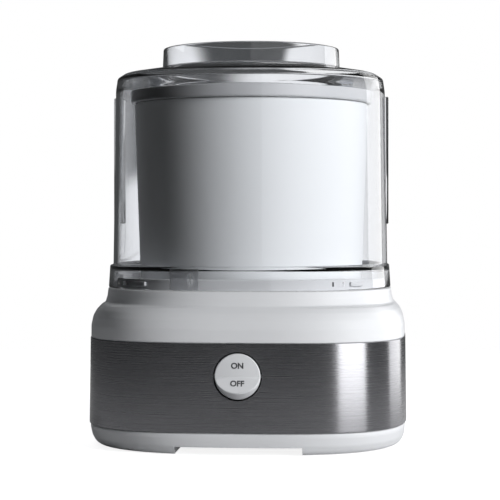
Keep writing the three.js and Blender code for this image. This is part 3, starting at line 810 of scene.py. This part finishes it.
def camera():
    data = bpy.data.cameras.new("camera")
    data.sensor_width = SENSOR
    data.lens = FOCAL_PIXELS / FRAME * SENSOR
    data.shift_x = -1.2 / FRAME
    data.shift_y = -27.5 / FRAME
    item = new_object("camera", data)
    across, along = AXIS_DISTANCE * math.sin(CAMERA_TURN), AXIS_DISTANCE * math.cos(CAMERA_TURN)
    item.location = (across, -along, CAMERA_HEIGHT)
    item.rotation_euler = (math.pi / 2, 0, CAMERA_TURN)
    bpy.context.scene.camera = item


def softbox(name, azimuth, distance, height, width, tall, power, mirrored=True):
    """An area light aimed at the bowl; azimuth is degrees to the camera's right of the front."""
    data = bpy.data.lights.new(name, "AREA")
    data.shape = "RECTANGLE"
    data.size, data.size_y = width, tall
    data.energy = power
    item = new_object(name, data)
    turn = math.radians(azimuth) + CAMERA_TURN
    item.location = (distance * math.sin(turn), -distance * math.cos(turn), height)
    aim = Vector((0, 0, 0.15)) - item.location
    item.rotation_euler = aim.to_track_quat("-Z", "Y").to_euler()
    item.visible_glossy = mirrored
    item.visible_transmission = False
    return item


def shine_only_on(light, pieces):
    group = bpy.data.collections.new(light.name + "_receivers")
    for piece in pieces:
        group.objects.link(piece)
    light.light_linking.receiver_collection = group


def stage():
    shape = bmesh.new()
    bmesh.ops.create_circle(shape, cap_ends=True, segments=96, radius=1)
    mesh = bpy.data.meshes.new("floor")
    shape.to_mesh(mesh)
    shape.free()
    floor = new_object("floor", mesh)
    n = Nodes("floor")
    where = n.coordinates()
    n.paint(n.noise(where, 3.0), (0.60, 0.60, 0.61), (0.64, 0.64, 0.64))
    n.set(Roughness=0.9, Specular_IOR_Level=0.1, Emission_Color=(1, 1, 1, 1))
    seen = n.add("ShaderNodeLightPath").outputs["Is Camera Ray"]
    n.link(n.math("MULTIPLY", seen, 0.86), n.shader.inputs["Emission Strength"])
    reach = n.add("ShaderNodeVectorMath", operation="LENGTH")
    n.link(where, reach.inputs[0])
    fade = n.add("ShaderNodeMapRange")
    fade.inputs["From Min"].default_value, fade.inputs["From Max"].default_value = 0.25, 0.9
    n.link(reach.outputs["Value"], fade.inputs["Value"])
    mix = n.add("ShaderNodeMixShader")
    n.link(fade.outputs["Result"], mix.inputs[0])
    n.link(n.shader.outputs[0], mix.inputs[1])
    n.link(n.add("ShaderNodeBsdfTransparent").outputs[0], mix.inputs[2])
    n.link(mix.outputs[0], n.tree.nodes["Material Output"].inputs["Surface"])
    mesh.materials.append(n.material)


def world():
    """White where the camera looks past or through the object, and a room that is darker on the left."""
    item = bpy.data.worlds.new("studio")
    bpy.context.scene.world = item
    item.use_nodes = True
    tree = item.node_tree
    room = tree.nodes["Background"]
    split = tree.nodes.new("ShaderNodeSeparateXYZ")
    tree.links.new(tree.nodes.new("ShaderNodeTexCoord").outputs["Generated"], split.inputs[0])
    ramp = tree.nodes.new("ShaderNodeMapRange")
    ramp.inputs["From Min"].default_value, ramp.inputs["From Max"].default_value = -0.5, 0.9
    ramp.inputs["To Min"].default_value, ramp.inputs["To Max"].default_value = 0.065, 0.12
    tree.links.new(split.outputs["X"], ramp.inputs["Value"])
    tree.links.new(ramp.outputs["Result"], room.inputs["Strength"])
    room.inputs["Color"].default_value = (0.95, 0.98, 1.0, 1)
    white = tree.nodes.new("ShaderNodeBackground")
    white.inputs["Color"].default_value = (1, 1, 1, 1)
    path = tree.nodes.new("ShaderNodeLightPath")

    def calculate(operation, first, second):
        node = tree.nodes.new("ShaderNodeMath")
        node.operation = operation
        tree.links.new(first, node.inputs[0])
        if isinstance(second, float):
            node.inputs[1].default_value = second
        else:
            tree.links.new(second, node.inputs[1])
        return node.outputs[0]

    def fade(value, start, end):
        node = tree.nodes.new("ShaderNodeMapRange")
        node.interpolation_type = "SMOOTHSTEP"
        node.inputs["From Min"].default_value, node.inputs["From Max"].default_value = start, end
        tree.links.new(value, node.inputs["Value"])
        return node.outputs["Result"]

    # what the lid lets through is white, but dark far to the left, in a patch high up on the left and
    # in a low one behind the bowl, which only the spout shows
    x, y, z = split.outputs["X"], split.outputs["Y"], split.outputs["Z"]
    sideways = calculate("ADD", x, calculate("MULTIPLY", y, math.tan(CAMERA_TURN)))
    patch = calculate("MULTIPLY", fade(z, 0.012, 0.035), fade(sideways, 0.02, -0.045))
    low = calculate("MULTIPLY", fade(sideways, -0.08, -0.03), fade(sideways, 0.042, 0.026))
    low = calculate("MULTIPLY", low, fade(z, 0.064, 0.054))
    patch = calculate("MULTIPLY", calculate("MAXIMUM", patch, low), fade(y, 0.7, 0.9))
    left = calculate("MULTIPLY", fade(x, -0.2, -0.6), fade(y, 0.1, 0.3))
    left = calculate("MULTIPLY", left, fade(z, -0.16, -0.09))
    backdrop = calculate("MULTIPLY", fade(patch, 1.0, 0.0), fade(left, 1.0, 0.0))
    mirrored = calculate("MULTIPLY", path.outputs["Glossy Depth"], fade(x, 0.25, -0.1))
    bounces = calculate("ADD", path.outputs["Diffuse Depth"], mirrored)
    straight = calculate("LESS_THAN", bounces, 0.5)
    through = calculate("MULTIPLY", path.outputs["Is Transmission Ray"], backdrop)
    past = calculate("MAXIMUM", path.outputs["Is Camera Ray"], through)
    mix = tree.nodes.new("ShaderNodeMixShader")
    tree.links.new(calculate("MULTIPLY", straight, past), mix.inputs[0])
    tree.links.new(room.outputs[0], mix.inputs[1])
    tree.links.new(white.outputs[0], mix.inputs[2])
    tree.links.new(mix.outputs[0], tree.nodes["World Output"].inputs["Surface"])


camera()
world()
stage()
softbox("key", 50, 1.4, 0.5, 0.6, 1.2, 28, mirrored=False)
card = softbox("card", 48.5, 1.3, 0.3, 0.8, 1.6, 17)
card.visible_diffuse = False        # it is only mirrored, by the steel band and the bowl's rim
fill = softbox("fill", -75, 1.4, 0.3, 0.6, 1.0, 1.2, mirrored=False)
softbox("edge", 127, 1.2, 0.35, 0.7, 1.2, 6)
softbox("back", 198, 1.4, 0.7, 0.8, 0.8, 10, mirrored=False)
bpy.context.scene.view_settings.view_transform = "Standard"
bpy.context.scene.cycles.caustics_refractive = False

dress_frame_nodes()
base_housing()
band = steel_band()
bottom_pan()
rubber_feet()
pan_screws()
gland()
power_rocker()
word("ON", LETTER_HEIGHT, SWITCH.z + 7.2 * MM, 0)
word("OFF", LETTER_HEIGHT, SWITCH.z - 4.6 * MM, LOWER_LEAN)
shell, rim = bowl()
paddle()
clear_lid()
shine_only_on(card, (band, rim))
shine_only_on(fill, (shell,))
